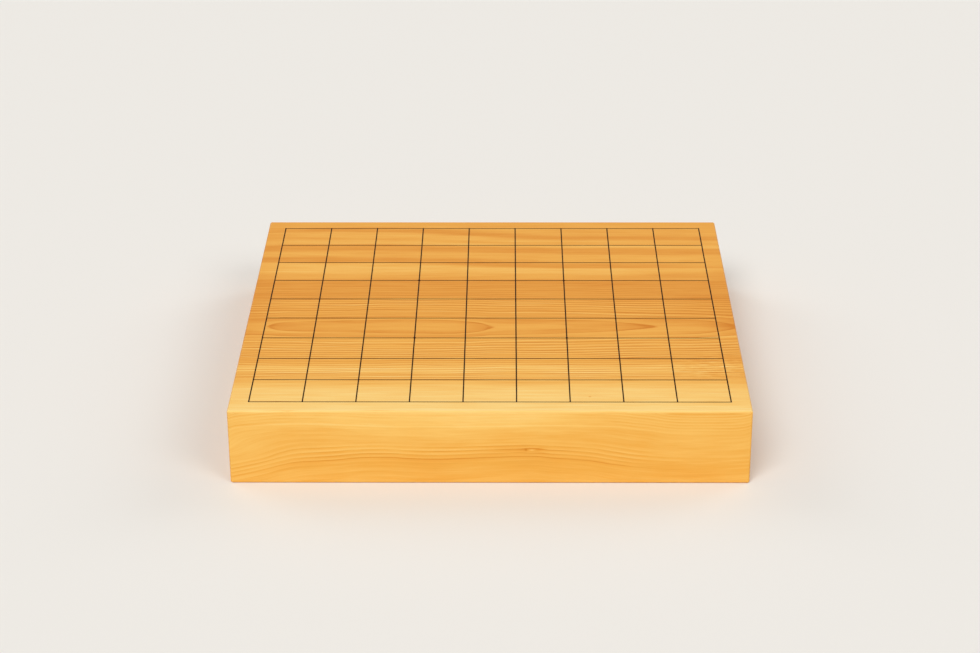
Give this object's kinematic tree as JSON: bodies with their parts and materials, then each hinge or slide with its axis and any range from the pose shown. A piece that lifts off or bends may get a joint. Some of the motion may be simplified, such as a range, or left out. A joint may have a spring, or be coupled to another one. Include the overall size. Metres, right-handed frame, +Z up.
{
  "type": "shogi board",
  "caption": "Thick solid wooden game board with a grid of raised black lacquer lines and lacquer star points on its flat top.",
  "frame": {"origin": "middle of the underside", "axes": "+X along the long side, which is the grain and the way from player to player, +Y along the short side, +Z up out of the playing face"},
  "size_m": [0.364, 0.333, 0.0575],
  "materials": {
    "kaya_wood": "planed and waxed, satin",
    "black_lacquer": "raised lacquer, gloss"
  },
  "bodies": {
    "root": {"board_block": "kaya_wood", "file_line_01": "black_lacquer", "file_line_02": "black_lacquer", "file_line_03": "black_lacquer", "file_line_04": "black_lacquer", "file_line_05": "black_lacquer", "file_line_06": "black_lacquer", "file_line_07": "black_lacquer", "file_line_08": "black_lacquer", "file_line_09": "black_lacquer", "file_line_10": "black_lacquer", "rank_line_01": "black_lacquer", "rank_line_02": "black_lacquer", "rank_line_03": "black_lacquer", "rank_line_04": "black_lacquer", "rank_line_05": "black_lacquer", "rank_line_06": "black_lacquer", "rank_line_07": "black_lacquer", "rank_line_08": "black_lacquer", "rank_line_09": "black_lacquer", "rank_line_10": "black_lacquer", "star_point_1": "black_lacquer", "star_point_2": "black_lacquer", "star_point_3": "black_lacquer", "star_point_4": "black_lacquer"}
  },
  "joints": []
}
